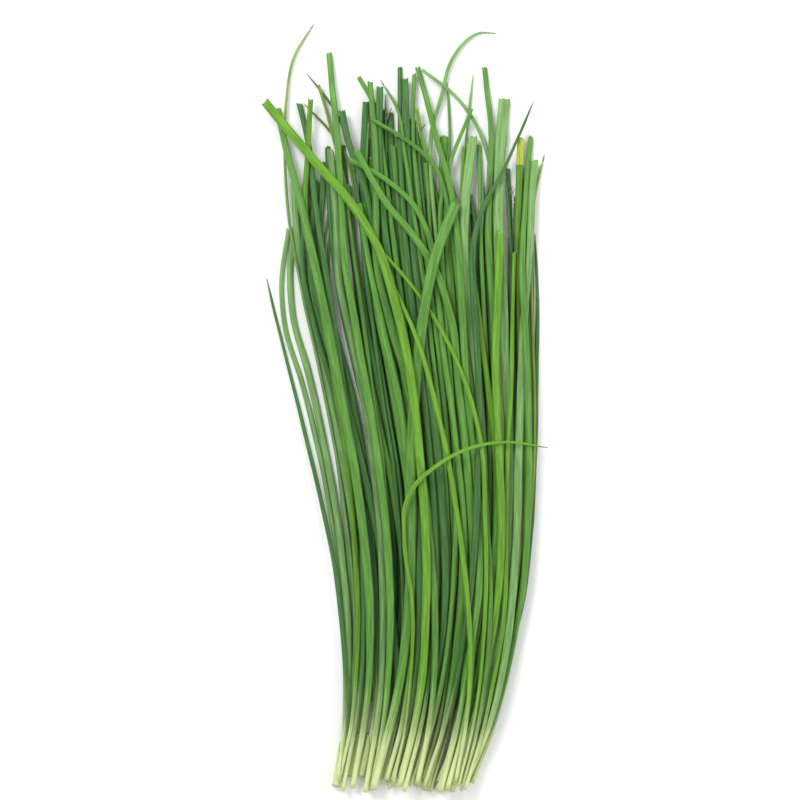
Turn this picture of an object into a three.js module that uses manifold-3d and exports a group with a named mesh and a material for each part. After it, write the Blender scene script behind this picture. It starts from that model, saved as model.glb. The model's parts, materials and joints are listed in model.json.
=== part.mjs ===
// A cut bunch of chives, lying flat on a table with its leaf tips at +Y and its cut bases at -Y.
// Each chive leaf is a slim hollow green blade, drawn here as a closed six-sided tube that narrows
// to its pale base. The leaves on top are placed one by one. Those under them grow in shoots of four,
// which leave one short sheath at the base. The whole pile is then let down onto the table until
// every leaf lies on the table or on the leaves under it. All sizes are in millimetres.
import * as THREE from "three";
import { mergeVertices } from "three/addons/utils/BufferGeometryUtils.js";
import Module from "manifold-3d";

// The bunch as a whole
const BASE_Y = -113; // where the bases were cut
const BASE_RAGGED = 2.5; // how far single bases miss that line
const BASE_HALF_WIDTH = 19.5;
const TIP_Y = 90; // where most leaves end
const TIP_CENTRE_X = 3;
const TIP_HALF_WIDTH = 34;
const BOW = 10; // how far the whole bunch bows towards +X, a third of the way up
const WAIST_LEVELS = [5, -30, -65, -95]; // heights at which a leaf's way to its base is set
const LEAST_WAY = 15; // a level closer than this under a leaf's last given point is passed over

// A leaf
const SIDES = 6;
const FLOOR_SHARE = Math.sin(Math.PI / 3); // a six-sided section's flat is this share of its height
const SPAN = 23; // distance between stations on a straight leaf
const BEND_REACH = 42; // how many more millimetres of leaf a bend of one radian counts as
const LEAST_SPANS = 5;
const FINE_STEPS = 240; // steps along a line while its stations are found
const LEAST_HALF = 0.35;
const ROUNDNESS = { none: 1.06, perWidth: -0.17, least: 0.5, most: 0.9, base: 0.95 }; // height by width
const BASE_SHARE = 0.62; // the base's width, as a share of the leaf's
const FULL_WIDTH_AT = 0.35; // share of the length at which a leaf reaches its full width
const TAPER_FROM = 0.62; // share of the length at which it starts to narrow to its tip

// A shoot: leaves that share one sheath at the base
const SHOOTS = 13;
const SHOOT_STRIDE = 7; // neighbouring shoots in the pile's order are this many places apart across it
const SHEATH_LENGTH = 13;
const SHEATH_HALF = 1.5;
const LEAF_IN_SHEATH = 0.65; // how far each leaf stands off the sheath's axis
const PLACES_IN_SHEATH = [Math.PI, Math.PI / 2, -Math.PI / 2, 0]; // left, top, bottom and right
const SHEATH_FLATNESS = 0.7; // the top and bottom leaves stand this much closer to the axis
const SHEATH_SHOULDER = { from: 0.8, size: 0.92 }; // where along it, and to what size, it narrows
const SHEATH_OVERHANG = 0.02; // how far it passes the leaves' cut ends, as a share of their first span
const FAN_STEP = 0.24; // how far apart its leaves point, as a share of half the fan
const FAN_SPREAD = 0.15;
// Where a leaf of a shoot ends, by its place in the fan: x, then the least and greatest height. The
// tips crowd together and stand highest a little left of the middle.
const FAN = [
  { place: -1, x: -31, levels: [50, 71] },
  { place: -0.6, x: -19, levels: [56, 78] },
  { place: -0.4, x: -12, levels: [62, 88] },
  { place: -0.22, x: -6, levels: [74, 90] },
  { place: 0.25, x: 4.5, levels: [70, 91] },
  { place: 0.45, x: 12, levels: [46, 72] },
  { place: 1, x: 37, levels: [46, 72] },
];
const CROWD = { x: -1.5, half: 7 }; // the leaves that end here are all deep green
const SHOULDER_SHARE = 0.55; // height of a leaf's shoulder, as a share of its tip's
const SHOULDER_PULL = 0.5; // how far it follows its tip across the bunch
const SHOOT_LEAF_WIDTHS = [1.4, 2.5];
const POINTED_SHARE = 0.3; // of the leaves in shoots, how many end in a point
const POINT_WIDTH = 0.7;
const CUT_SHARES = [0.75, 0.98]; // width at a cut tip, as a share of the leaf's
const SHOOT_COLOURS = ["deep", "mid", "deep", "mid", "bright", "pale"];

// The pile
const GAP = 0.22; // clear space between any two leaves
const LAYER_RISE = 0.16; // how much higher each leaf starts than the one before
const SETTLE_STEPS = 1100;
const REST_STEPS = 700; // the last steps, with no fall, in which the last contacts clear
const FALL = 0.05;
const STIFFNESS = 0.45;
const HOLD = 0.06; // pull of a leaf back to its own line, seen from above
const REST_STRENGTH = 0.15; // how much of both is left while the pile rests
const BOWS = [-0.02, 0.05]; // least and most rise of a leaf's free end, in millimetres per station squared
const PAIR_REACH = 3; // spans this close are watched for contact, until the list is next made
const PAIR_EVERY = 15;
const LIFT_REACH = 3; // a leaf that has sunk less than this under another is lifted back over it
const BESIDE = 0.5; // past this share of the two half widths a leaf lies beside another, not over it
const SEED = 13;

const COLOURS = {
  bright: { color: 0x6fae2e, roughness: 0.5 },
  mid: { color: 0x4b8a36, roughness: 0.52 },
  deep: { color: 0x2f6430, roughness: 0.55 },
  pale: { color: 0x7fb465, roughness: 0.5 },
  yellowing: { color: 0xb4c23c, roughness: 0.58 },
};

// The leaves seen on top, lowest first: colour, full width, width at the tip, x of the base, and the
// line of the leaf from its tip down to where the others hide it. A tip under 1 mm is a grown point.
const TOP_LEAVES = [
  ["pale", 0.9, 0.7, -18, [[-25.5, 111], [-31.3, 101], [-33.4, 88], [-33.6, 70], [-32.5, 55]]],
  ["yellowing", 0.9, 0.7, 20, [[42.6, 72.5], [41.2, 66], [39.4, 60], [38, 50]]],
  ["deep", 1, 0.7, -3, [[-28.5, 87.5], [-25, 84.5], [-21, 79.5], [-16, 72]]],
  ["deep", 1.1, 0.7, -5, [[-27.6, 96.5], [-23.5, 91.7], [-21, 88.2], [-16, 80]]],
  ["mid", 1.3, 0.9, -10, [[-24, 93], [-22, 87], [-21, 83], [-18, 73.5]]],
  ["deep", 1.8, 1.7, -17, [[-29.7, 88], [-28.5, 81], [-27.6, 77], [-26.8, 67.5]]],
  ["deep", 2.1, 2, 2, [[-17.3, 85.5], [-16.5, 79.5], [-14.4, 74], [-10.3, 62]]],
  ["mid", 1.6, 1.3, 0, [[-12.3, 95.5], [-10.3, 92], [-9, 88.5], [-7.6, 79.5]]],
  ["deep", 2.2, 2, -2, [[-5.9, 92.5], [-6.2, 84], [-6.5, 74], [-5.9, 62]]],
  ["deep", 2, 1.4, 1, [[-0.1, 98.5], [0, 88], [0.3, 78], [0.6, 64.5]]],
  ["deep", 2.3, 1.8, 3, [[1.4, 95], [2, 86], [2.6, 76], [3.2, 60]]],
  ["mid", 1.5, 1.2, 7, [[4.4, 96.5], [3.8, 88], [3.8, 81.5], [4.1, 70.5]]],
  ["mid", 2.3, 1.7, -9, [[-20.9, 102.5], [-19.4, 84], [-18.2, 62], [-16.8, 41.5], [-12.4, 16]]],
  ["bright", 1.4, 1, 14, [[4.1, 86], [5.3, 81], [6.2, 75], [8.8, 64.5], [10.9, 57]]],
  ["mid", 1.4, 0.8, 5, [[-5.9, 94.5], [-2.9, 89.5], [-1.2, 86], [0.3, 76.5]]],
  ["mid", 1.2, 0.8, 9, [[13.8, 94], [14.4, 88], [14.4, 79.5], [13.8, 67.5]]],
  ["pale", 1.2, 0.7, 11, [[21.6, 96], [21.2, 87], [20.3, 79.5], [19.7, 64.5]]],
  ["pale", 1.3, 0.7, 4, [[28.5, 108.3], [22.9, 108.2], [16.5, 103], [13.2, 95], [10.3, 84], [7.9, 76]]],
  ["mid", 2.6, 2.4, 8, [[13.5, 78], [12.9, 73], [12.9, 59], [13.5, 44]]],
  ["mid", 1.3, 1.2, 13, [[23.6, 75.5], [23.5, 68], [23.5, 59], [23.5, 41]]],
  ["bright", 1.9, 1.1, 14, [[18.8, 75], [18, 60], [19, 47], [22, 23.5], [26.5, -5], [27.6, -14.5]]],
  ["pale", 2.9, 2.8, 12, [[21.5, 78], [21.2, 71], [20.3, 64.5], [19.4, 50]]],
  ["pale", 1.3, 1, 15, [[6.4, 97.3], [13.2, 92.5], [20.9, 84.7], [26.2, 74], [28.2, 66]]],
  ["mid", 2.2, 1.5, 14, [[24.9, 98.5], [25.6, 91.5], [27, 78], [26.8, 67.5], [25.9, 59]]],
  ["mid", 1.5, 1.1, 3, [[21.2, 86], [17, 75.3], [14.7, 69], [12.6, 60]]],
  ["pale", 3.3, 3.3, 16, [[30.9, 89], [30.3, 81.5], [29.4, 73], [28.8, 64.5], [28.5, 53]]],
  ["bright", 2.3, 2.3, 15, [[29.4, 50], [29.4, 40], [28.5, 29], [27.9, 12]]],
  ["bright", 2.3, 2, 18, [[35.9, 77.5], [35.5, 69], [35, 59], [34.1, 41]]],
  ["pale", 2.3, 2, 19, [[38.4, 71], [37, 50], [35.6, 29], [34.8, 0], [34, -25], [33, -41]]],
  ["mid", 1.9, 1.6, 19.5, [[38.8, 78], [38.2, 69.5], [37.4, 59], [35.9, 41]]],
  ["bright", 1.7, 1.5, -18, [[-26.2, 89], [-26.6, 80.5], [-27, 70], [-28, 59]]],
  ["mid", 2.6, 2, -14, [[-36, 86], [-34, 79], [-32.7, 70], [-29.4, 59], [-25, 41]]],
  ["deep", 1.3, 0.7, -18, [[-39.4, 36], [-36.8, 25], [-33.5, 12], [-29, -6]]],
  ["pale", 2.3, 2, -10, [[-19, 74], [-17.9, 60], [-16.8, 42], [-15.6, 28], [-12.6, 15.6]]],
  ["mid", 2.2, 1.6, -4, [[-12, 58], [-9.5, 45], [-6.8, 36], [-4.5, 25.6], [-1.8, 11], [1.2, 0.3], [2.6, -9]]],
  ["mid", 2.3, 1.6, 5, [[-9.1, 94], [-7.9, 80.5], [-7, 70], [-7.5, 50], [-7, 32.5], [-0.6, 9.5]]],
  ["mid", 1.8, 1.4, 13, [[-14.9, 70.6], [-8.2, 67.4], [-2, 63], [1.2, 60.3], [7.4, 51.5]]],
  ["mid", 1.5, 1.1, 18, [[-8.5, 82.5], [-2.6, 79.5], [2.6, 76], [8.2, 71.7], [13.2, 64.5]]],
  ["mid", 2.3, 1.8, 14, [[-13, 73.4], [-9.7, 67.5], [-3.5, 57], [2.4, 50], [7.6, 42.5], [13.2, 29.5]]],
  ["mid", 2.1, 1.5, 12, [[5, 98.5], [7, 91.5], [8.5, 84.7], [11.2, 71.5], [14.4, 59]]],
  ["deep", 2, 0.8, 7, [[39.4, 88], [34.4, 76], [28.2, 63], [22, 50]]],
  ["bright", 1.5, 1.1, 19, [[33.8, 44], [33.2, 29.5], [32.6, 12.5], [31.8, -5], [30.9, -20.5]]],
  ["bright", 1.3, 1, 17, [[-6, 43], [2.4, 34], [8.8, 24.7], [15, 14.5], [20.6, 0], [23.5, -12]]],
  ["mid", 3.1, 3, -8, [[16.4, 58], [13.2, 49.7], [9.4, 38.5], [5.9, 18.2], [4.1, -4], [3.6, -15]]],
  ["bright", 1.5, 1.1, 16, [[-3.5, 37], [0, 29.5], [4.1, 21], [8.8, 7], [11.2, -3.5], [14.1, -17]]],
  ["bright", 2.6, 2.6, 0, [[-40, 88], [-27.5, 73], [-17.4, 61.5], [-8, 48], [-2.5, 32], [2, 13]]],
  [
    "bright", 1.2, 0.7, -2,
    [[43.5, -14], [36.5, -12.8], [29.4, -12.4], [23.5, -13], [14.4, -16.8], [5.9, -23], [1.2, -31]],
  ],
];

const random = seededRandom(SEED);
const between = (low, high) => low + (high - low) * random();

// The same draws on every run (the mulberry32 generator).
function seededRandom(seed) {
  let state = seed;
  return () => {
    state = (state + 0x6d2b79f5) | 0;
    let bits = Math.imul(state ^ (state >>> 15), 1 | state);
    bits = (bits + Math.imul(bits ^ (bits >>> 7), 61 | bits)) ^ bits;
    return ((bits ^ (bits >>> 14)) >>> 0) / 4294967296;
  };
}

const clamp = (value, low, high) => Math.min(high, Math.max(low, value));
const mix = (a, b, share) => a + (b - a) * share;

function smoothStep(low, high, value) {
  const share = clamp((value - low) / (high - low), 0, 1);
  return share * share * (3 - 2 * share);
}

// How far the bunch bows sideways at height y: nothing at both ends, most a third of the way up.
function bowAt(y) {
  const share = clamp((y - BASE_Y) / (TIP_Y - BASE_Y), 0, 1);
  return BOW * 6.75 * share * (1 - share) ** 2;
}

// The leaf's line from tip to base: the points given, then the waist levels under them.
function lineOf(points, baseX, baseY) {
  const [lastX, lastY] = points[points.length - 1];
  const way = WAIST_LEVELS.filter((y) => y < lastY - LEAST_WAY).map((y) => [
    mix(baseX, lastX - bowAt(lastY), (y - BASE_Y) / (lastY - BASE_Y)) + bowAt(y),
    y,
  ]);
  const all = [...points, ...way, [baseX, baseY]].reverse();
  return new THREE.CatmullRomCurve3(all.map(([x, y]) => new THREE.Vector3(x, y, 0)), false, "centripetal");
}

// Stations along a line, base first, closer together where the line bends.
function stationsOn(line) {
  const fine = line.getSpacedPoints(FINE_STEPS);
  const cost = [0];
  for (let i = 1; i < fine.length; i++) {
    const step = fine[i].distanceTo(fine[i - 1]);
    const next = fine[Math.min(i + 1, fine.length - 1)].clone().sub(fine[i]);
    const turn = i + 1 < fine.length ? next.angleTo(fine[i].clone().sub(fine[i - 1])) : 0;
    cost.push(cost[i - 1] + step + BEND_REACH * turn);
  }
  const whole = cost[cost.length - 1];
  const spans = Math.max(LEAST_SPANS, Math.round(whole / SPAN));
  const stations = [];
  let at = 0;
  for (let k = 0; k <= spans; k++) {
    const wanted = (whole * k) / spans;
    while (at < cost.length - 2 && cost[at + 1] < wanted) at++;
    const share = clamp((wanted - cost[at]) / (cost[at + 1] - cost[at]), 0, 1);
    stations.push({ x: mix(fine[at].x, fine[at + 1].x, share), y: mix(fine[at].y, fine[at + 1].y, share) });
  }
  return stations;
}

// A leaf with its half width and half height at each station.
function makeLeaf(colour, width, tipWidth, line, shoot) {
  const stations = stationsOn(line);
  const last = stations.length - 1;
  const roundness = clamp(ROUNDNESS.none + ROUNDNESS.perWidth * width, ROUNDNESS.least, ROUNDNESS.most);
  stations.forEach((p, k) => {
    const along = k / last;
    const growth = smoothStep(0, FULL_WIDTH_AT, along);
    const taper = mix(1, tipWidth / width, smoothStep(TAPER_FROM, 1, along));
    p.wide = Math.max(LEAST_HALF, (width / 2) * mix(BASE_SHARE, 1, growth) * taper);
    p.high = Math.max(LEAST_HALF, p.wide * mix(ROUNDNESS.base, roundness, growth));
  });
  return { colour, stations, shoot };
}

// A leaf's tip, by its place in the fan.
function tipAt(place) {
  const k = clamp(FAN.findIndex((end) => place <= end.place), 1, FAN.length - 1);
  const [a, b] = [FAN[k - 1], FAN[k]];
  const share = (place - a.place) / (b.place - a.place);
  const levels = [0, 1].map((i) => mix(a.levels[i], b.levels[i], share));
  return [mix(a.x, b.x, share) + between(-2, 2), between(...levels)];
}

// The leaves of each shoot, fanned across the bunch.
function makeShootLeaves() {
  const leaves = [];
  for (let s = 0; s < SHOOTS; s++) {
    const place = mix(-1, 1, (((s * SHOOT_STRIDE) % SHOOTS) + 0.5) / SHOOTS);
    const baseX = place * BASE_HALF_WIDTH + between(-0.8, 0.8);
    const baseY = BASE_Y + between(-1, 1) * BASE_RAGGED;
    for (let j = 0; j < PLACES_IN_SHEATH.length; j++) {
      const turn = (j - (PLACES_IN_SHEATH.length - 1) / 2) * FAN_STEP;
      const fan = clamp(place + turn + between(-FAN_SPREAD, FAN_SPREAD), -1, 1);
      const tip = tipAt(fan);
      const shoulderX = mix(TIP_CENTRE_X + fan * TIP_HALF_WIDTH, tip[0], SHOULDER_PULL) + between(-3, 3);
      const shoulder = [shoulderX, tip[1] * SHOULDER_SHARE];
      const width = between(...SHOOT_LEAF_WIDTHS);
      const tipWidth = random() < POINTED_SHARE ? POINT_WIDTH : width * between(...CUT_SHARES);
      const drawn = SHOOT_COLOURS[Math.floor(between(0, SHOOT_COLOURS.length))];
      const colour = Math.abs(tip[0] - CROWD.x) < CROWD.half ? "deep" : drawn;
      leaves.push(makeLeaf(colour, width, tipWidth, lineOf([tip, shoulder], baseX, baseY), s));
    }
  }
  return leaves;
}

function makeTopLeaf([colour, width, tipWidth, baseX, points]) {
  return makeLeaf(colour, width, tipWidth, lineOf(points, baseX, BASE_Y + between(-1, 1) * BASE_RAGGED));
}

// Inside its sheath a leaf takes the sheath's room and follows the sheath's line.
function isInSheath(leaf, k) {
  return leaf.shoot !== undefined && k < 2;
}

// Lets the pile down. Every leaf keeps its order in the pile: a later leaf crosses over an earlier one.
function settle(leaves) {
  leaves.forEach((leaf, order) => {
    const bow = between(...BOWS);
    leaf.stations.forEach((p, k) => {
      p.roomWide = isInSheath(leaf, k) ? Math.max(SHEATH_HALF, LEAF_IN_SHEATH + p.wide) : p.wide;
      p.roomHigh = isInSheath(leaf, k) ? SHEATH_HALF : p.high;
      p.lineX = p.x;
      p.lineY = p.y;
      p.rise = bow * k * k;
      p.z = p.roomHigh + order * LAYER_RISE + p.rise;
    });
  });
  let pairs = [];
  for (let step = 0; step < SETTLE_STEPS; step++) {
    if (step % PAIR_EVERY === 0) pairs = closePairs(leaves);
    const falling = step < SETTLE_STEPS - REST_STEPS;
    for (const leaf of leaves) relaxLeaf(leaf, falling ? FALL : 0, falling ? 1 : REST_STRENGTH);
    holdSheaths(leaves);
    for (const pair of pairs) pushApart(pair);
    for (const { stations } of leaves)
      for (const p of stations) p.z = Math.max(p.z, p.roomHigh * FLOOR_SHARE);
  }
  holdSheaths(leaves);
}

// One leaf falls a little, springs back towards its own line and evens out its bends.
function relaxLeaf({ stations }, fall, strength) {
  const off = stations.map((p) => [p.x - p.lineX, p.y - p.lineY, p.z - p.rise]);
  const last = stations.length - 1;
  stations.forEach((p, k) => {
    const a = off[Math.max(k - 1, 0)];
    const b = off[Math.min(k + 1, last)];
    const straight = k === 0 || k === last ? off[k] : [0, 1, 2].map((i) => (a[i] + b[i]) / 2);
    const bend = STIFFNESS * strength;
    p.x += bend * (straight[0] - off[k][0]) - HOLD * strength * off[k][0];
    p.y += bend * (straight[1] - off[k][1]) - HOLD * strength * off[k][1];
    p.z += bend * (straight[2] - off[k][2]) - fall;
  });
}

// The leaves of one shoot share their sheath's line.
function holdSheaths(leaves) {
  for (let s = 0; s < SHOOTS; s++) {
    const siblings = leaves.filter((leaf) => leaf.shoot === s);
    for (const k of [0, 1])
      for (const axis of ["x", "y", "z"]) {
        const mean = siblings.reduce((sum, leaf) => sum + leaf.stations[k][axis], 0) / siblings.length;
        for (const leaf of siblings) leaf.stations[k][axis] = mean;
      }
  }
}

// Every two spans of different leaves that lie close enough to meet.
function closePairs(leaves) {
  const spans = leaves.flatMap((leaf, order) =>
    leaf.stations.slice(1).map((b, i) => ({ a: leaf.stations[i], b, order, index: i, shoot: leaf.shoot })),
  );
  const low = (span, axis) => Math.min(span.a[axis], span.b[axis]) - PAIR_REACH;
  const high = (span, axis) => Math.max(span.a[axis], span.b[axis]) + PAIR_REACH;
  spans.sort((p, q) => low(p, "y") - low(q, "y"));
  const pairs = [];
  spans.forEach((p, i) => {
    for (let j = i + 1; j < spans.length && low(spans[j], "y") < high(p, "y"); j++) {
      const q = spans[j];
      if (p.order === q.order || low(q, "x") > high(p, "x") || low(p, "x") > high(q, "x")) continue;
      if (p.shoot !== undefined && p.shoot === q.shoot && (p.index < 2 || q.index < 2)) continue;
      pairs.push(p.order > q.order ? [p, q] : [q, p]);
    }
  });
  return pairs;
}

// The shares along two spans at which they are closest.
function closestShares(p, q) {
  const ux = p.b.x - p.a.x;
  const uy = p.b.y - p.a.y;
  const uz = p.b.z - p.a.z;
  const vx = q.b.x - q.a.x;
  const vy = q.b.y - q.a.y;
  const vz = q.b.z - q.a.z;
  const wx = p.a.x - q.a.x;
  const wy = p.a.y - q.a.y;
  const wz = p.a.z - q.a.z;
  const uu = ux * ux + uy * uy + uz * uz;
  const uv = ux * vx + uy * vy + uz * vz;
  const vv = vx * vx + vy * vy + vz * vz;
  const uw = ux * wx + uy * wy + uz * wz;
  const vw = vx * wx + vy * wy + vz * wz;
  const cross = uu * vv - uv * uv;
  let s = cross > 1e-9 ? clamp((uv * vw - vv * uw) / cross, 0, 1) : 0.5;
  const t = clamp((uv * s + vw) / vv, 0, 1);
  s = clamp((uv * t - uw) / uu, 0, 1);
  return [s, t];
}

// Moves two spans apart where their leaves would touch. The later leaf goes over the earlier one.
function pushApart([upper, lower]) {
  const [s, t] = closestShares(upper, lower);
  const dx = mix(upper.a.x, upper.b.x, s) - mix(lower.a.x, lower.b.x, t);
  const dy = mix(upper.a.y, upper.b.y, s) - mix(lower.a.y, lower.b.y, t);
  const dz = mix(upper.a.z, upper.b.z, s) - mix(lower.a.z, lower.b.z, t);
  const wide = mix(upper.a.roomWide, upper.b.roomWide, s) + mix(lower.a.roomWide, lower.b.roomWide, t);
  const high = mix(upper.a.roomHigh, upper.b.roomHigh, s) + mix(lower.a.roomHigh, lower.b.roomHigh, t);
  const aside = Math.hypot(dx, dy);
  if (aside > wide + GAP || Math.abs(dz) > high + GAP + LIFT_REACH) return;
  let distance = Math.hypot(aside, dz);
  let normal = [dx / distance, dy / distance, dz / distance];
  if (distance < 1e-6 || (dz < 0 && aside < BESIDE * wide)) {
    normal = [0, 0, 1];
    distance = dz;
  }
  const flat = Math.hypot(normal[0], normal[1]);
  const short = GAP + Math.hypot(wide * flat, high * normal[2]) - distance;
  if (short <= 0) return;
  shift(upper, s, normal, short / 2);
  shift(lower, t, normal, -short / 2);
}

function shift({ a, b }, share, normal, amount) {
  const scale = amount / (share * share + (1 - share) * (1 - share));
  ["x", "y", "z"].forEach((axis, i) => {
    a[axis] += normal[i] * scale * (1 - share);
    b[axis] += normal[i] * scale * share;
  });
}

// The flat direction across a leaf at station k, seen from above.
function sidewaysAt(stations, k) {
  const a = stations[Math.max(k - 1, 0)];
  const b = stations[Math.min(k + 1, stations.length - 1)];
  const length = Math.hypot(b.x - a.x, b.y - a.y);
  return [(b.y - a.y) / length, -(b.x - a.x) / length];
}

// A closed tube through rings of upright section, base ring first.
function tube(rings) {
  const positions = [];
  for (const { x, y, z, sideways, wide, high } of rings)
    for (let i = 0; i < SIDES; i++) {
      const angle = (2 * Math.PI * i) / SIDES;
      const out = wide * Math.cos(angle);
      positions.push(x + sideways[0] * out, y + sideways[1] * out, z + high * Math.sin(angle));
    }
  const index = [];
  const last = (rings.length - 1) * SIDES;
  for (let k = 0; k + 1 < rings.length; k++)
    for (let i = 0; i < SIDES; i++) {
      const a = k * SIDES + i;
      const b = k * SIDES + ((i + 1) % SIDES);
      index.push(a, b + SIDES, b, a, a + SIDES, b + SIDES);
    }
  for (let i = 1; i + 1 < SIDES; i++) {
    index.push(0, i, i + 1);
    index.push(last, last + i + 1, last + i);
  }
  const geometry = new THREE.BufferGeometry();
  geometry.setAttribute("position", new THREE.Float32BufferAttribute(positions, 3));
  geometry.setIndex(index);
  return geometry;
}

// A leaf's tube. Inside a sheath the leaves of a shoot stand side by side round its axis.
function leafGeometry(leaf, angle = 0) {
  const { stations } = leaf;
  const rings = stations.map((p, k) => {
    const sideways = sidewaysAt(stations, k);
    const inside = isInSheath(leaf, k) ? LEAF_IN_SHEATH : 0;
    const out = inside * Math.cos(angle);
    return {
      x: p.x + sideways[0] * out,
      y: p.y + sideways[1] * out,
      z: p.z + inside * Math.sin(angle) * SHEATH_FLATNESS,
      sideways,
      wide: p.wide,
      high: p.high,
    };
  });
  return tube(rings);
}

// The short sheath round the bases of one shoot.
function sheathGeometry(leaves) {
  const [foot, next] = leaves[0].stations;
  const sideways = sidewaysAt([foot, next], 0);
  const reach = SHEATH_LENGTH / Math.hypot(next.x - foot.x, next.y - foot.y);
  const ring = (share, size) => ({
    x: mix(foot.x, next.x, share),
    y: mix(foot.y, next.y, share),
    z: mix(foot.z, next.z, Math.max(share, 0)),
    sideways,
    wide: SHEATH_HALF * size,
    high: SHEATH_HALF * size,
  });
  return tube([
    ring(-SHEATH_OVERHANG, 1),
    ring(reach * SHEATH_SHOULDER.from, 1),
    ring(reach, SHEATH_SHOULDER.size),
  ]);
}

const wasm = await Module();
wasm.setup();

function solidOf(geometry) {
  const merged = mergeVertices(geometry, 1e-4);
  return new wasm.Manifold(
    new wasm.Mesh({
      numProp: 3,
      vertProperties: merged.attributes.position.array,
      triVerts: new Uint32Array(merged.index.array),
    }),
  );
}

function geometryOf(solid) {
  const mesh = solid.getMesh();
  const geometry = new THREE.BufferGeometry();
  geometry.setAttribute("position", new THREE.BufferAttribute(mesh.vertProperties, 3));
  geometry.setIndex(new THREE.BufferAttribute(mesh.triVerts, 1));
  return geometry;
}

// The leaves and sheath of a shoot as one body. Its largest shell alone is kept, which fills any
// hollow that the fused leaves close in.
function shootGeometry(leaves) {
  const parts = leaves.map((leaf, i) => solidOf(leafGeometry(leaf, PLACES_IN_SHEATH[i])));
  const fused = parts.reduce((all, one) => all.add(one), solidOf(sheathGeometry(leaves)));
  const shells = fused.decompose().sort((a, b) => b.volume() - a.volume());
  return geometryOf(shells[0]);
}

function addMesh(group, name, geometry, colour) {
  const mesh = new THREE.Mesh(geometry, new THREE.MeshStandardMaterial({ ...COLOURS[colour], metalness: 0 }));
  mesh.name = name;
  group.add(mesh);
}

const twoDigits = (n) => String(n).padStart(2, "0");

const shootLeaves = makeShootLeaves();
const singleLeaves = TOP_LEAVES.map(makeTopLeaf);
settle([...shootLeaves, ...singleLeaves]);

// The origin is at the middle of the bunch's box, on the table.
const bunch = new THREE.Group();
const chives = new THREE.Group();
singleLeaves.forEach((leaf, i) => {
  addMesh(chives, `leaf_${twoDigits(i + 1)}`, leafGeometry(leaf), leaf.colour);
});
for (let s = 0; s < SHOOTS; s++) {
  const leaves = shootLeaves.filter((leaf) => leaf.shoot === s);
  addMesh(chives, `shoot_${twoDigits(s + 1)}`, shootGeometry(leaves), leaves[0].colour);
}
const box = new THREE.Box3().setFromObject(chives);
chives.position.set(-(box.min.x + box.max.x) / 2, -(box.min.y + box.max.y) / 2, 0);
bunch.add(chives);

export default bunch;
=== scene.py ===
import json
import math

import bmesh
import bpy
import numpy as np
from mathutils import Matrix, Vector
from mathutils.bvhtree import BVHTree

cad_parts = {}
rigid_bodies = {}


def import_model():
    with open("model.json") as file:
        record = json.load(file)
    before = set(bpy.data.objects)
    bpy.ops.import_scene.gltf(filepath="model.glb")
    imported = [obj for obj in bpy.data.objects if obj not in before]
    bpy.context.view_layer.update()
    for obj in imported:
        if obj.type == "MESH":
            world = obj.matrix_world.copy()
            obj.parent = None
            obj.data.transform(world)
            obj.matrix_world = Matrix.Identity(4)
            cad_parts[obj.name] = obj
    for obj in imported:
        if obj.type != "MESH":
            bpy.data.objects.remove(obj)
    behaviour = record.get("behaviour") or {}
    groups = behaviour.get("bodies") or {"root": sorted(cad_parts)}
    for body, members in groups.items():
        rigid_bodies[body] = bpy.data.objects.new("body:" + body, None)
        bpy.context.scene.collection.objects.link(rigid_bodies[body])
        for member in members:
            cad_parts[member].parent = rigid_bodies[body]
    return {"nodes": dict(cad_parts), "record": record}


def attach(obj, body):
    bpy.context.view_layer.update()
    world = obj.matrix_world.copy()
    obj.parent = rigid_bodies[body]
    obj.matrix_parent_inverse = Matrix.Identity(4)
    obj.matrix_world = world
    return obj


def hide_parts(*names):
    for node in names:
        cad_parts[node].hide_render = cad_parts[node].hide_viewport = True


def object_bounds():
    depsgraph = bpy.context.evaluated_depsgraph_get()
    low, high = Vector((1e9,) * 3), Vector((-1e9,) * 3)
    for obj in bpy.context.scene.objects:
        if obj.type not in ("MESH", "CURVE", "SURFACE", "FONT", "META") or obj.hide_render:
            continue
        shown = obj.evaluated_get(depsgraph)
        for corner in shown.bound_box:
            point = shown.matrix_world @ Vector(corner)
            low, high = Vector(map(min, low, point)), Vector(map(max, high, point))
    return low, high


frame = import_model()
cad_box = [list(corner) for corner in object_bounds()]

# Cut leaves. Each is one slim hollow tube of thin skin, round near its foot and flatter higher up,
# grown from a bulb and cut across at both ends by a knife, so that the wall and the hollow show.
# They lie loose on each other. Most of the single leaves are of this kind.
CUT_LEAVES = ["leaf_%02d" % k for k in (6, 7, 8, 9, 10, 11, 12, 13, 14, 16, 20, 21, 24, 25, 27, 29, 30, 31)]
CUT_LEAVES += ["leaf_%02d" % k for k in (34, 35, 36, 37, 38, 39, 40, 42, 43, 45)]
SHADED = {"leaf_34": 0.28, "leaf_13": 0.62, "leaf_31": 0.25}  # darker or lighter than 0.5, the usual
ROUNDED = ["leaf_30"]  # grown to a blunt end, not cut
MM = 0.001
SIDES = 20
RING_STEP = 2.2 * MM
FINE_STEP = 0.5 * MM
FINE_LENGTH = 10 * MM  # the last part of a leaf, where its rings are closer
ROUND_SHARE = 0.9  # the round section's height, as a share of its six-sided solid's
STEADY_LENGTH = 12 * MM  # this close to its ends a leaf eases back to its solid's line and width
LINE_DRIFT = (0.1 * MM, 16 * MM)  # each drift is its size, and the length over which it wanders
WIDTH_DRIFT = (0.03, 9 * MM)
HEIGHT_DRIFT = (0.05, 12 * MM)
LEAN_DRIFT = (0.3, 40 * MM)
CHANNEL_DRIFT = (0.2, 30 * MM)
LEAN_MOST, LEAN_SHARE = 0.5, 0.35
BEND_LENGTH = 12 * MM  # a bend is how far the leaf turns over this length, in radians
BEND_LEAST, BEND_MOST, BEND_WIDENS = 0.12, 0.4, 0.12
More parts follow.
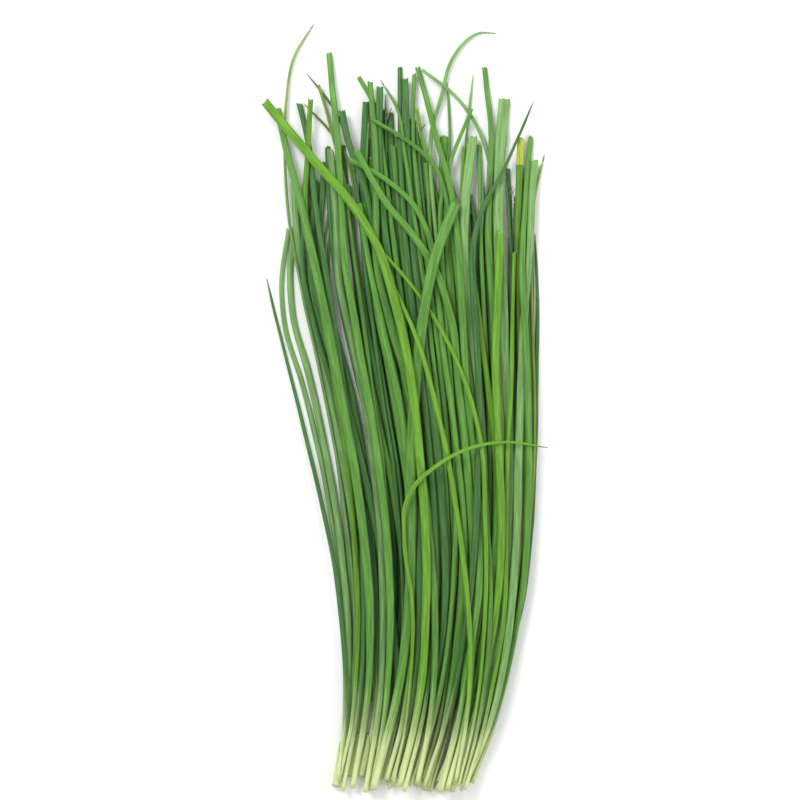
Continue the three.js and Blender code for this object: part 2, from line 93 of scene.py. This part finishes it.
CHANNEL_DEPTH, CHANNEL_MOST, CHANNEL_HALF = 1.6, 0.45, 0.4
BROAD_RIBS, BROAD_RIB = 9, 0.012  # how many ribs go round a leaf, and how far they stand out
FINE_RIBS, FINE_RIB = 14, 0.008
SWELL_HALF, SWELL = 0.5 * MM, 0.1  # the ring on a leaf that has one
POINT_HALF = 0.42 * MM  # a leaf narrower than this at its tip has grown to a point
POINT_LENGTH, BLUNT_LENGTH = 7 * MM, 1.5 * MM  # over these lengths a point and a blunt end close
TIP_SHARE = 0.2  # what is left of the width at a point or a blunt end
WALL = 0.24 * MM
HOLLOW_DEPTH = 5 * MM
CUT_LENGTH = 3 * MM  # this last part of a cut leaf follows its rim
SLANT_LEAST, SLANT_MOST = 0.1, 0.5  # a cut's slant, as a share of half the leaf's width
SLANT_HALF = 0.8 * MM  # and of no more than this half width
TEAR_LEAST, TEAR_MOST, TEAR_DEEPEST = 0.6, 1.9, 1.5  # in millimetres
TEAR_WAVES = ((2, 0.14), (5, 0.09), (7, 0.07))  # a torn rim's waves, and their sizes
FOOT_SLANT, FOOT_DEPTH = 0.25, 1.5 * MM
FOOT_WALL_LEAST, FOOT_WALL_MOST = 0.45, 0.6  # the wall at the foot, as a share of its half width
FOOT_LENGTH = 36 * MM  # the pale part of a leaf, from its foot up
TIP_PAINTED_LIGHT, TIP_PAINTED_LIGHT_LENGTH = 0.15, 60 * MM  # painted light: how much lighter its tip is painted, and over what length
WITHERED_LENGTH, WITHERED_FADE = 65 * MM, 40 * MM  # how far down a leaf withers, and the part that fades
YELLOW = 0.38  # how dry a leaf is above its ring
TURN = 2 * math.pi
RING_REACH = 5 * MM  # further than this from a solid's corner lies its next ring
FLAT_SHARE = math.sin(math.pi / 3)  # a six-sided ring's flat is this share of its height
slot_of = {row["node"]: row["material_slot"] for row in frame["record"]["subparts"]}
lowest, highest = np.array(cad_box[0]) + 0.02 * MM, np.array(cad_box[1]) - 0.02 * MM
draw = np.random.default_rng(7)


def solid_of(name):
    """The node's solid with its shared corners joined."""
    solid = bmesh.new()
    solid.from_mesh(frame["nodes"][name].data)
    bmesh.ops.remove_doubles(solid, verts=solid.verts, dist=2e-6)
    return solid


def around(corners):
    """Every corner that shares an edge with one of these."""
    return {edge.other_vert(corner) for corner in corners for edge in corner.link_edges}


def ring_at(corner):
    """The ring that a corner belongs to."""
    ring = {corner}
    while True:
        more = {c for c in around(ring) if (c.co - corner.co).length < RING_REACH} - ring
        if not more:
            return ring
        ring |= more


def station_of(ring):
    """The middle, half width and half height of a ring."""
    points = np.array([corner.co for corner in ring])
    middle = points.mean(axis=0)
    wide = np.linalg.norm(points[:, :2] - middle[:2], axis=1).max()
    return [*middle, wide, np.ptp(points[:, 2]) / 2 / FLAT_SHARE]


def walk(ring, down_to=-1.0):
    """Stations from one end of a leaf on, while each next ring is whole and not below this height."""
    seen, stations = set(ring), []
    while len(ring) == 6 and min(corner.co.y for corner in ring) > down_to:
        stations.append(station_of(ring))
        ring = around(ring) - seen
        seen |= ring
    return np.array(stations)


def single_leaf(name):
    """A single leaf's stations, foot first."""
    solid = solid_of(name)
    return walk(ring_at(min(solid.verts, key=lambda corner: corner.co.y)))


def smooth_line(stations):
    """Points on a smooth curve through the stations, with their widths and heights, closer near the tip."""
    at = np.concatenate([[0], np.cumsum(np.linalg.norm(np.diff(stations[:, :3], axis=0), axis=1))])
    slope = np.gradient(stations, at, axis=0)
    coarse = max(0, at[-1] - FINE_LENGTH)
    low = np.linspace(0, coarse, int(coarse / RING_STEP), endpoint=False)
    where = np.concatenate([low, np.linspace(coarse, at[-1], int((at[-1] - coarse) / FINE_STEP) + 1)])
    k = np.clip(np.searchsorted(at, where, side="right") - 1, 0, len(at) - 2)
    gap = (at[k + 1] - at[k])[:, None]
    t = (where - at[k])[:, None] / gap
    a, b, da, db = stations[k], stations[k + 1], slope[k] * gap, slope[k + 1] * gap
    curve = (2 * t**3 - 3 * t**2 + 1) * a + (t**3 - 2 * t**2 + t) * da
    return curve + (3 * t**2 - 2 * t**3) * b + (t**3 - t**2) * db, where


def wander(where, size, length):
    """A slow random drift of about this size along a leaf."""
    knots = draw.normal(0, size, int(where[-1] / length) + 3)
    return np.interp(where / length, np.arange(len(knots)), knots)


def ease(distance, length):
    """Rises smoothly from 0 to 1 over this length."""
    t = np.clip(distance / length, 0, 1)
    return t * t * (3 - 2 * t)


class Shape:
    """Corners, faces, places on the leaf and state of one piece, gathered leaf by leaf."""

    def __init__(self):
        self.corners, self.faces, self.places, self.states = [], [], [], []

    def add_rings(self, rings, alongs, states):
        """Joins rings of corners into one closed skin, each end closed with a fan."""
        sides, first = len(rings[0]), len(self.corners)
        for ring, state in zip(rings, states):
            self.corners.extend(np.clip(ring, lowest, highest))
            self.states.extend([state] * sides)
        for k in range(len(rings) - 1):
            for i in range(sides):
                j = (i + 1) % sides
                a, b = first + k * sides, first + (k + 1) * sides
                self.faces.append((a + i, a + j, b + j, b + i))
                u, v = i / sides, (i + 1) / sides
                self.places += [(u, alongs[k]), (v, alongs[k]), (v, alongs[k + 1]), (u, alongs[k + 1])]
        for k in (0, len(rings) - 1):
            middle = len(self.corners)
            self.corners.append(np.clip(np.mean(rings[k], axis=0), lowest, highest))
            self.states.append(states[k])
            for i in range(sides):
                a, b = first + k * sides + i, first + k * sides + (i + 1) % sides
                self.faces.append((middle, b, a) if k == 0 else (middle, a, b))
                self.places += [(i / sides, alongs[k]), ((i + 1) / sides, alongs[k]), (i / sides, alongs[k])]

    def add_leaf(
        self, stations, tone, dried=0.0, fold=0.5, rounded=False, ring=None, withered=0.0, sides=SIDES
    ):
        """One hollow leaf, foot first. Its last dried metres are brown, fold is the depth of its
        channel, rounded gives it a blunt end, ring is how far below its end a ring is, and withered
        is how dry its upper part is."""
        curve, where = smooth_line(stations)
        middle, wide, high = curve[:, :3].copy(), curve[:, 3].copy(), curve[:, 4] * ROUND_SHARE
        to_tip = where[-1] - where
        pointed = stations[-1][3] < POINT_HALF or rounded
        inside = ease(where, STEADY_LENGTH) * ease(to_tip, STEADY_LENGTH)
        middle[:, 0] += wander(where, *LINE_DRIFT) * inside
        wide *= 1 + wander(where, *WIDTH_DRIFT) * inside
        high *= 1 + wander(where, *HEIGHT_DRIFT) * inside
        ahead = np.gradient(middle, axis=0)
        ahead /= np.linalg.norm(ahead, axis=1)[:, None]
        # A hollow leaf flattens where it bends sharply.
        bend = np.linalg.norm(np.gradient(ahead, where, axis=0), axis=1) * BEND_LENGTH
        flattening = np.clip(bend - BEND_LEAST, 0, BEND_MOST) * inside
        high *= 1 - flattening
        wide *= 1 + BEND_WIDENS * flattening
        if ring:
            collar = SWELL * np.exp(-(((to_tip - ring) / SWELL_HALF) ** 2))
            wide *= 1 + collar
            high *= 1 + collar
        if pointed:
            close = 1 - np.clip(to_tip / (BLUNT_LENGTH if rounded else POINT_LENGTH), 0, 1)
            close = np.sqrt(1 - close**2) if rounded else (1 - close) ** 0.7
            close = TIP_SHARE + (1 - TIP_SHARE) * close
            wide *= close
            high *= close
        aside = np.stack([ahead[:, 1], -ahead[:, 0], np.zeros(len(where))], axis=1)
        aside /= np.linalg.norm(aside, axis=1)[:, None]
        over = np.cross(aside, ahead)
        angle = TURN * np.arange(sides) / sides - np.pi / 2
        flat = 1 - np.clip(high / wide / ROUND_SHARE, 0, 1)
        channel = np.clip(flat * fold * CHANNEL_DEPTH, 0, CHANNEL_MOST) * inside
        lean = np.clip(wander(where, *LEAN_DRIFT), -LEAN_MOST, LEAN_MOST) * flat
        off_middle = wander(where, *CHANNEL_DRIFT)
        ribs = BROAD_RIB * np.cos(BROAD_RIBS * angle + draw.uniform(0, 6))
        ribs = ribs + FINE_RIB * np.cos(FINE_RIBS * angle)
        rings = []
        for k in range(len(where)):
            x, z = np.cos(angle) * (1 + ribs), np.sin(angle) * (1 + ribs)
            z = z - channel[k] * np.exp(-(((x - off_middle[k]) / CHANNEL_HALF) ** 2)) * (z > 0)
            across, up = wide[k] * x, high[k] * z + wide[k] * x * lean[k] * LEAN_SHARE
            rings.append(middle[k] + np.outer(across, aside[k]) + np.outer(up, over[k]))
        dry = ease(dried - to_tip, 0.25 * dried + 0.2 * MM)
        dry = np.maximum(dry, withered * ease(WITHERED_LENGTH - to_tip, WITHERED_FADE))
        if ring:
            dry = np.maximum(dry, YELLOW * ease(ring - to_tip, SWELL_HALF))
        pale = np.clip(1 - where / FOOT_LENGTH, 0, 1)
        # Painted light and shade: each leaf is painted lighter towards its tip and a little darker lower
        # down.
        tones_and_painted_light = tone - 0.05 + TIP_PAINTED_LIGHT * np.clip(1 - to_tip / TIP_PAINTED_LIGHT_LENGTH, 0, 1)
        states = [(tones_and_painted_light[k], dry[k], pale[k]) for k in range(len(where))]
        alongs = list(where * 10)
        if not pointed:
            # The cut end: a slightly slanted, ragged rim, the thin wall and the hollow.
            slant = draw.uniform(SLANT_LEAST, SLANT_MOST) * min(wide[-1], SLANT_HALF)
            back = slant * np.cos(angle - draw.uniform(0, TURN))
            torn = draw.uniform(TEAR_LEAST, TEAR_MOST) * MM
            for waves, size in TEAR_WAVES:
                back = back + size * torn * np.cos(waves * angle + draw.uniform(0, TURN))
            back = np.clip(back - back.max(), -TEAR_DEEPEST * MM, 0)
            for k in np.flatnonzero(to_tip < CUT_LENGTH):
                rings[k] = rings[k] + np.outer(back * (1 - to_tip[k] / CUT_LENGTH), ahead[k])
            inward = rings[-1].mean(axis=0) - rings[-1]
            mouth = rings[-1] + inward / np.linalg.norm(inward, axis=1)[:, None] * WALL
            # The rim has dried a little. The hollow is pale at its mouth and has painted shade further down.
            states[-1] = (tones_and_painted_light[-1], max(dry[-1], 0.18), 0.2)
            down_hollow = ((0.02, (tone, 0.15, 0.6)), (0.4, (tone, 0, 0.35)), (1, (tone - 0.25, 0, 0)))
            for depth, state in down_hollow:
                rings.append(mouth - ahead[-1] * HOLLOW_DEPTH * depth)
                alongs.append(alongs[-1] + 0.01)
                states.append(state)
        # The foot, cut across: a thick pale wall round a small hollow, with painted shade at its floor.
        slant = FOOT_SLANT * wide[0] * (1 + np.cos(angle - draw.uniform(0, TURN)))
        rings[0] = rings[0] + np.outer(slant, ahead[0])
        wall = draw.uniform(FOOT_WALL_LEAST, FOOT_WALL_MOST)
        mouth = rings[0] + (rings[0].mean(axis=0) - rings[0]) * wall
        rings = [mouth + ahead[0] * FOOT_DEPTH, mouth] + rings
        alongs = [alongs[0] - 0.02, alongs[0] - 0.01] + alongs
        states = [(tone - 0.1, 0, 0.7), (tone, 0.05, 1)] + states
        self.add_rings(rings, alongs, states)

    def make(self, name, skin_material):
        """The piece, with its mesh and its material."""
        mesh = bpy.data.meshes.new(name)
        mesh.from_pydata([tuple(c) for c in self.corners], [], self.faces)
        layer = mesh.uv_layers.new(name="leaf")
        layer.data.foreach_set("uv", np.array(self.places, dtype=np.float32).ravel())
        state = mesh.attributes.new("state", "FLOAT_COLOR", "POINT")
        rgba = np.hstack([np.array(self.states), np.ones((len(self.states), 1))]).astype(np.float32)
        state.data.foreach_set("color", rgba.ravel())
        mesh.polygons.foreach_set("use_smooth", [True] * len(mesh.polygons))
        mesh.materials.append(skin_material)
        piece = bpy.data.objects.new(name, mesh)
        bpy.context.collection.objects.link(piece)
        return piece

    def replace(self, node):
        piece = self.make("chive_" + node, greens[slot_of[node]])
        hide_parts(node)
        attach(piece, "root")


class Nodes:
    """Short ways to add nodes to one node tree and to link them."""

    def __init__(self, tree):
        self.tree = tree

    def add(self, kind, inputs=None, **settings):
        node = self.tree.nodes.new(kind)
        for key, value in settings.items():
            setattr(node, key, value)
        for key, value in (inputs or {}).items():
            if isinstance(value, bpy.types.NodeSocket):
                self.tree.links.new(value, node.inputs[key])
            else:
                node.inputs[key].default_value = value
        return node

    def math(self, operation, a, b=0.0):
        return self.add("ShaderNodeMath", {0: a, 1: b}, operation=operation).outputs[0]

    def blend(self, share, a, b):
        return self.add("ShaderNodeMix", {0: share, 6: a, 7: b}, data_type="RGBA").outputs[2]

    def smooth(self, value, low, high, to_low=0.0, to_high=1.0):
        inputs = {0: value, 1: low, 2: high, 3: to_low, 4: to_high}
        return self.add("ShaderNodeMapRange", inputs, interpolation_type="SMOOTHSTEP").outputs[0]

    def noise(self, vector, scale, detail=3.0, roughness=0.5):
        inputs = {"Vector": vector, "Scale": scale, "Detail": detail, "Roughness": roughness}
        return self.add("ShaderNodeTexNoise", inputs).outputs[0]


# The skin's effects, shared by all five greens: lengthwise veins and streaks, patches with fine
# ripples across, the pale foot, and a tip that turns yellow and then brown. "state" holds a leaf's
# tone with its painted light and shade, how dry it is and how pale it is.
skin = bpy.data.node_groups.new("chive_skin", "ShaderNodeTree")
for name in ("Green", "Vein Green", "Foot", "Turning", "Dried"):
    skin.interface.new_socket(name=name, in_out="INPUT", socket_type="NodeSocketColor")
skin.interface.new_socket(name="Color", in_out="OUTPUT", socket_type="NodeSocketColor")
skin.interface.new_socket(name="Roughness", in_out="OUTPUT", socket_type="NodeSocketFloat")
skin.interface.new_socket(name="Height", in_out="OUTPUT", socket_type="NodeSocketFloat")
n = Nodes(skin)
given = n.add("NodeGroupInput").outputs
place = n.add("ShaderNodeSeparateXYZ", {0: n.add("ShaderNodeUVMap", uv_map="leaf").outputs[0]}).outputs
held = n.add("ShaderNodeAttribute", attribute_name="state").outputs[0]
state = n.add("ShaderNodeSeparateColor", {0: held}).outputs
turn = n.math("MULTIPLY", place[0], TURN)
turn_x, turn_y = n.math("COSINE", turn), n.math("SINE", turn)


def on_leaf(stretch):
    """A point on a round column, so that nothing shows a seam, with this much change along the leaf."""
    inputs = {0: turn_x, 1: turn_y, 2: n.math("MULTIPLY", place[1], stretch)}
    return n.add("ShaderNodeCombineXYZ", inputs).outputs[0]


veins = n.noise(on_leaf(1.6), 5.5, 4.0, 0.62)
ripples = n.noise(on_leaf(150.0), 1.6, 1.0)
streaks = n.noise(on_leaf(4.0), 2.2)
patches = n.noise(on_leaf(9.0), 1.3, 2.0)
flecks = n.noise(on_leaf(60.0), 9.0, 2.0, 0.6)
green = n.blend(n.smooth(veins, 0.42, 0.62, 0.0, 0.5), given["Green"], given["Vein Green"])
green = n.blend(n.smooth(streaks, 0.35, 0.7, 0.0, 0.6), green, given["Vein Green"])
tone = n.math("ADD", state[0], n.smooth(patches, 0.3, 0.7, -0.16, 0.16))
body = n.add("ShaderNodeHueSaturation", {"Value": n.math("ADD", tone, 0.5), "Color": green}).outputs[0]
pale = n.smooth(n.math("ADD", state[2], n.smooth(streaks, 0.3, 0.7, -0.18, 0.18)), 0.2, 0.9)
body = n.blend(pale, body, given["Foot"])
dry = n.math("ADD", state[1], n.smooth(streaks, 0.3, 0.7, -0.12, 0.12))
body = n.blend(n.smooth(dry, 0.12, 0.42), body, given["Turning"])
dried = n.smooth(n.math("ADD", dry, n.smooth(flecks, 0.35, 0.65, -0.1, 0.1)), 0.55, 0.85)
body = n.blend(dried, body, given["Dried"])
body = n.blend(n.smooth(flecks, 0.62, 0.72, 0.0, 0.22), body, given["Vein Green"])
rough = n.math("ADD", n.smooth(veins, 0.3, 0.7, 0.38, 0.5), n.math("MULTIPLY", dried, 0.3))
rippled = n.math("MULTIPLY", ripples, n.smooth(patches, 0.5, 0.65, 0.0, 0.5))
height = n.math("ADD", n.math("ADD", veins, n.math("MULTIPLY", flecks, 0.15)), rippled)
n.add("NodeGroupOutput", {"Color": body, "Roughness": rough, "Height": height})

VEIN_DEPTH = 0.06 * MM
GREENS = {  # the skin's own green, and the lighter green of its veins; the deep green is in part painted shade
    "leaf_bright": ((0.08, 0.225, 0.008, 1), (0.17, 0.385, 0.024, 1)),
    "leaf_mid": ((0.058, 0.182, 0.02, 1), (0.132, 0.325, 0.047, 1)),
    "leaf_deep": ((0.028, 0.108, 0.019, 1), (0.075, 0.21, 0.046, 1)),
    "leaf_pale": ((0.115, 0.27, 0.062, 1), (0.24, 0.42, 0.145, 1)),
    "leaf_yellowing": ((0.12, 0.23, 0.02, 1), (0.26, 0.38, 0.04, 1)),
}
SHARED = {"Foot": (0.58, 0.67, 0.32, 1), "Turning": (0.42, 0.50, 0.03, 1), "Dried": (0.15, 0.125, 0.09, 1)}
greens = {}
for slot, (own, vein) in GREENS.items():
    material = greens[slot] = bpy.data.materials.new(slot)
    material.use_nodes = True
    m = Nodes(material.node_tree)
    made = m.add("ShaderNodeGroup", node_tree=skin)
    for name, colour in {"Green": own, "Vein Green": vein, **SHARED}.items():
        made.inputs[name].default_value = colour
    inputs = {"Height": made.outputs["Height"], "Strength": 0.7, "Distance": VEIN_DEPTH}
    bump = m.add("ShaderNodeBump", inputs)
    surface = material.node_tree.nodes["Principled BSDF"]
    material.node_tree.links.new(made.outputs["Color"], surface.inputs["Base Color"])
    material.node_tree.links.new(made.outputs["Roughness"], surface.inputs["Roughness"])
    material.node_tree.links.new(bump.outputs[0], surface.inputs["Normal"])
    surface.inputs["Specular IOR Level"].default_value = 0.35
    surface.inputs["Sheen Weight"].default_value = 0.25
    surface.inputs["Sheen Roughness"].default_value = 0.4
    surface.inputs["Sheen Tint"].default_value = (0.45, 0.8, 0.25, 1)
    surface.inputs["Subsurface Weight"].default_value = 0.12
    surface.inputs["Subsurface Radius"].default_value = (0.6, 1.0, 0.25)
    surface.inputs["Subsurface Scale"].default_value = 0.6 * MM

for node in CUT_LEAVES:
    shape = Shape()
    tone, fold = SHADED.get(node, 0.5) + draw.uniform(-0.1, 0.1), draw.uniform(0.1, 0.7)
    shape.add_leaf(single_leaf(node), tone, 0, fold, rounded=node in ROUNDED)
    shape.replace(node)


# Wisps. The thinnest leaves are young or were overgrown. Nearly all taper to a fine point that the
# knife missed and that has dried brown. They curl away from the bunch, and some have turned olive
# over their upper part.
DRIED_TIPS = {  # how long each one's brown point is, in millimetres
    "leaf_01": 2, "leaf_02": 3, "leaf_03": 3, "leaf_04": 7, "leaf_05": 0, "leaf_15": 3,
    "leaf_17": 1, "leaf_18": 1.5, "leaf_23": 0, "leaf_33": 2, "leaf_41": 1.5, "leaf_47": 1.5,
}
WISP_TONES = {
    "leaf_01": 0.3, "leaf_02": 0.6, "leaf_03": 0.38, "leaf_04": 0.42, "leaf_05": 0.3, "leaf_41": 0.4,
}
WITHERED = {"leaf_01": 0.22, "leaf_02": 0.17, "leaf_03": 0.2, "leaf_05": 0.2}  # how dry their upper part is
PLAIN_TONE = 0.52
WISP_FOLD = 0.3
for node, length in DRIED_TIPS.items():
    shape = Shape()
    tone, withered = WISP_TONES.get(node, PLAIN_TONE), WITHERED.get(node, 0)
    shape.add_leaf(single_leaf(node), tone, length * MM, WISP_FOLD, withered=withered)
    shape.replace(node)


# Broad leaves. The widest hollow leaves have been pressed flat in packing: they fold sharply along
# both edges, sink to a channel along the middle, and show their ribs.
BROAD_LEAVES = {  # how deep each one's channel is
    "leaf_19": 0.5, "leaf_22": 0.9, "leaf_26": 1.0, "leaf_32": 0.4, "leaf_44": 0.7, "leaf_46": 0.25,
}
BROAD_SIDES = 28
for node, fold in BROAD_LEAVES.items():
    shape = Shape()
    shape.add_leaf(single_leaf(node), PLAIN_TONE, 0, fold, sides=BROAD_SIDES)
    shape.replace(node)


# Ringed leaf. One leaf at the right has turned yellow above a thickened ring, a few millimetres
# below its cut.
RING_BELOW_CUT = 8.5 * MM
RINGED_TONE, RINGED_FOLD = 0.17, 0.3
shape = Shape()
shape.add_leaf(single_leaf("leaf_28"), RINGED_TONE, 0, RINGED_FOLD, ring=RING_BELOW_CUT)
shape.replace("leaf_28")


# Shoots. Four leaves grow out of one short sheath, the pale papery foot of the shoot, which wraps
# them and was cut across with them. The sheath's rim is thin and splits a little on one side.
SHEATH_SIDES = 28
SHEATH_RINGS = 14
SHEATH_LENGTH = 13 * MM
SHEATH_WALL = 0.2 * MM
IN_SHEATH = 0.65 * MM  # how far each leaf stands off the sheath's line
PARTING_FROM = 17 * MM  # the leaves leave the sheath's line just over this height
PARTING_TO = 30 * MM  # and from this height up each has rings of its own
FOOT_SIZE, PARTING_SIZE = 0.62, 0.85  # a leaf's size there, as a share of its size above
OVER_UNDER = 0.7  # the upper and the lower leaf stand off by this share
CROWD_MIDDLE, CROWD_HALF = -2.8 * MM, 7 * MM  # where the tips crowd together they are painted darker, painted shade
CROWD_PAINTED_SHADE = 0.3  # how much painted shade, save for the deep green shoots, which are dark enough


def shoot_leaves(name):
    """The stations of a shoot's leaves, foot first, and those of its sheath."""
    solid = solid_of(name)
    foot = min(solid.verts, key=lambda corner: corner.co.y)
    foot_ring = ring_at(foot)
    sheath = np.array([station_of(foot_ring), station_of(around(foot_ring) - foot_ring)])
    tips = [c for c in solid.verts if c.co.y > 0 and all(c.co.y >= other.co.y for other in around({c}))]
    chains, met = [], set()
    for tip in tips:
        ring = ring_at(tip)
        if not ring & met:
            met |= ring
            chains.append(walk(ring, foot.co.y + PARTING_TO)[::-1])
    over = [c.co.y for c in solid.verts if PARTING_FROM < c.co.y - foot.co.y < PARTING_TO]
    way = (sheath[1] - sheath[0])[:3]
    parting = sheath[0][:3] + way * (np.percentile(over, 20) - sheath[0][1]) / way[1]
    aside = np.array([way[1], -way[0], 0]) / math.hypot(way[0], way[1])
    chains.sort(key=lambda chain: chain[0][0])
    if chains[1][0][2] < chains[2][0][2]:
        chains[1], chains[2] = chains[2], chains[1]
    leaves = []
    above = np.array([0, 0, OVER_UNDER])
    for chain, place in zip(chains, (-aside, above, -above, aside)):
        half = chain[0][3:]
        low = [*(sheath[0][:3] + place * IN_SHEATH), *(half * FOOT_SIZE)]
        high = [*(parting + place * IN_SHEATH), *(half * PARTING_SIZE)]
        leaves.append(np.vstack([[low, high], chain]))
    return leaves, sheath


def add_sheath(shape, sheath, tone):
    """The wrap round the leaves' feet: a ribbed sleeve with a thin split rim."""
    foot, shoulder = sheath
    way = shoulder[:3] - foot[:3]
    way /= np.linalg.norm(way)
    aside = np.array([way[1], -way[0], 0])
    aside /= np.linalg.norm(aside)
    over = np.cross(aside, way)
    angle = TURN * np.arange(SHEATH_SIDES) / SHEATH_SIDES
    ribs = 1 + 0.018 * np.cos(11 * angle + 1) + 0.012 * np.cos(17 * angle)
    split = np.exp(-((np.angle(np.exp(1j * (angle - draw.uniform(0.3, 2.8)))) / 0.5) ** 2)) * 3 * MM

    def ring(share, size, split_share):
        half = foot[3] * size
        at = foot[:3] + np.outer(SHEATH_LENGTH * share - split * split_share, way)
        across, up = half * 0.96 * ribs * np.cos(angle), half * ROUND_SHARE * ribs * np.sin(angle)
        return at + np.outer(across, aside) + np.outer(up, over)

    # The cut foot is a thick pale rim, and inside it the four leaves' own feet show, with painted shade.
    rings = [ring(0.16, 0.7, 0), ring(0.02, 0.8, 0)]
    alongs, states = [-0.03, -0.01], [(tone - 0.3, 0, 0.7), (tone - 0.05, 0, 1)]
    for share in np.linspace(0, 1, SHEATH_RINGS):
        rings.append(ring(share, 1 - 0.06 * math.sin(math.pi * share) - 0.1 * share**2, share**3))
        alongs.append(share * 0.13)
        states.append((tone + 0.1 * share, 0, 1 - 0.35 * share))
    inner = 0.9 - SHEATH_WALL / foot[3]
    # Painted shade: inside its mouth the sleeve's wall is painted darker further in.
    rings += [ring(0.99, inner, 1), ring(0.8, inner - 0.05, 0)]
    alongs += [alongs[-1] + 0.01, alongs[-1] + 0.02]
    states += [(tone, 0, 0.9), (tone - 0.2, 0, 0.6)]
    shape.add_rings(rings, alongs, states)


for node in sorted(name for name in frame["nodes"] if name.startswith("shoot_")):
    shape = Shape()
    leaves, sheath = shoot_leaves(node)
    for stations in leaves:
        tone, fold = 0.5 + draw.uniform(-0.2, 0.12), draw.uniform(0.1, 0.8)
        # Painted shade: leaves whose tips end in the crowd are painted darker.
        if slot_of[node] != "leaf_deep" and abs(stations[-1][0] - CROWD_MIDDLE) < CROWD_HALF:
            tone -= CROWD_PAINTED_SHADE
        dried = draw.uniform(1, 3) * MM if stations[-1][3] < POINT_HALF else 0
        shape.add_leaf(stations, tone, dried, fold)
    add_sheath(shape, sheath, 0.5)
    shape.replace(node)


# Threads. A few old leaves have withered to short brown threads, which are caught among the fresh
# ones and lie on top of them, stiff, dry and a little curled.
THREAD_HALF = 0.27 * MM
THREAD_SIDES = 10
THREADS = [  # points along each thread, in millimetres
    [(4.9, 81.5), (5.5, 82.6), (6.3, 83.4)],
    [(-5.4, 84.4), (-4.8, 86), (-3.8, 88.3)],
    [(24.2, 62.4), (24.7, 65.5), (25.6, 69.4)],
    [(14.3, 65.6), (14.9, 63.2), (15.5, 59.4)],
    [(11.4, 75.6), (11.9, 74.4), (12.4, 73.2)],
    [(31.0, 62.4), (31.3, 63.8), (31.9, 65.2)],
]
carriers = [piece for piece in bpy.data.objects if piece.name.startswith("chive_")]
corners, faces = [], []
for piece in carriers:
    faces += [[len(corners) + i for i in polygon.vertices] for polygon in piece.data.polygons]
    corners += [vertex.co.copy() for vertex in piece.data.vertices]
pile = BVHTree.FromPolygons(corners, faces)


def top_of_pile(x, y):
    """The height of whatever lies highest at this place."""
    hit = pile.ray_cast(Vector((x, y, 0.05)), Vector((0, 0, -1)))[0]
    return hit.z if hit else 0


for number, points in enumerate(THREADS, 1):
    flat_line, _ = smooth_line(np.array([(x * MM, y * MM, 0, 1, 1) for x, y in points]))
    tops = np.array([top_of_pile(x, y) for x, y in flat_line[:, :2]])
    tops = np.array([tops[max(0, k - 3):k + 4].max() for k in range(len(tops))])
    tops = np.convolve(np.pad(tops, 2, mode="edge"), np.ones(5) / 5, mode="valid")
    along = np.linspace(0, 1, len(tops))
    half = THREAD_HALF * (0.35 + 0.65 * np.sin(np.pi * np.clip(along * 0.8 + 0.15, 0, 1)))
    line = np.column_stack([flat_line[:, :2], tops + half, half, half])
    shape = Shape()
    angle = TURN * np.arange(THREAD_SIDES) / THREAD_SIDES
    crinkled = np.column_stack([np.cos(angle), 0.25 * np.sin(3 * angle), np.sin(angle)])
    sections = [at[:3] + at[3] * crinkled for at in line]
    shape.add_rings(sections, list(along * 0.06), [(0.45 + 0.1 * a, 1, 0) for a in along])
    piece = shape.make("dried_thread_%d" % number, greens["leaf_yellowing"])
    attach(piece, "root")


# Board. The bunch lies on a plain pale board, which isn't part of it.
bpy.ops.mesh.primitive_plane_add(size=3, location=(0, 0, 0))
board = bpy.context.object
board.name = "board"
board_material = bpy.data.materials.new("board")
board_material.use_nodes = True
board_surface = board_material.node_tree.nodes["Principled BSDF"]
board_surface.inputs["Base Color"].default_value = (0.9, 0.9, 0.9, 1)
board_surface.inputs["Roughness"].default_value = 0.7
board.data.materials.append(board_material)


# Light and camera. Soft lamps hang over the bunch in a pale room. The camera looks straight down on
# it, with the leaf tips at the top of the picture.
LAMPS = {"upper_left": ((-0.5, 0.6, 0.9), 0.5, 9), "right": ((0.8, -0.1, 0.7), 0.8, 4)}
ROOM = 0.7
VIEW_MIDDLE = (-1.29 * MM, 2.25 * MM)  # the point of the bunch at the picture's middle
VIEW_WIDTH = 235.3 * MM  # what the picture spans at the height of most of the leaves
VIEW_HEIGHT = 3.5 * MM
LENS, SENSOR = 135, 36

for name, (place, size, power) in LAMPS.items():
    lamp = bpy.data.lights.new(name, "AREA")
    lamp.shape, lamp.size, lamp.energy = "DISK", size, power
    light = bpy.data.objects.new(name, lamp)
    light.location = place
    light.rotation_euler = (-Vector(place)).to_track_quat("-Z", "Y").to_euler()
    bpy.context.collection.objects.link(light)
world = bpy.data.worlds.new("pale room")
world.use_nodes = True
world.node_tree.nodes["Background"].inputs[0].default_value = (1, 1, 1, 1)
world.node_tree.nodes["Background"].inputs[1].default_value = ROOM
bpy.context.scene.world = world

camera_data = bpy.data.cameras.new("camera")
camera_data.lens, camera_data.sensor_width = LENS, SENSOR
camera = bpy.data.objects.new("camera", camera_data)
camera.location = (*VIEW_MIDDLE, VIEW_HEIGHT + VIEW_WIDTH * LENS / SENSOR)
bpy.context.collection.objects.link(camera)
bpy.context.scene.camera = camera
bpy.context.scene.view_settings.view_transform = "Standard"
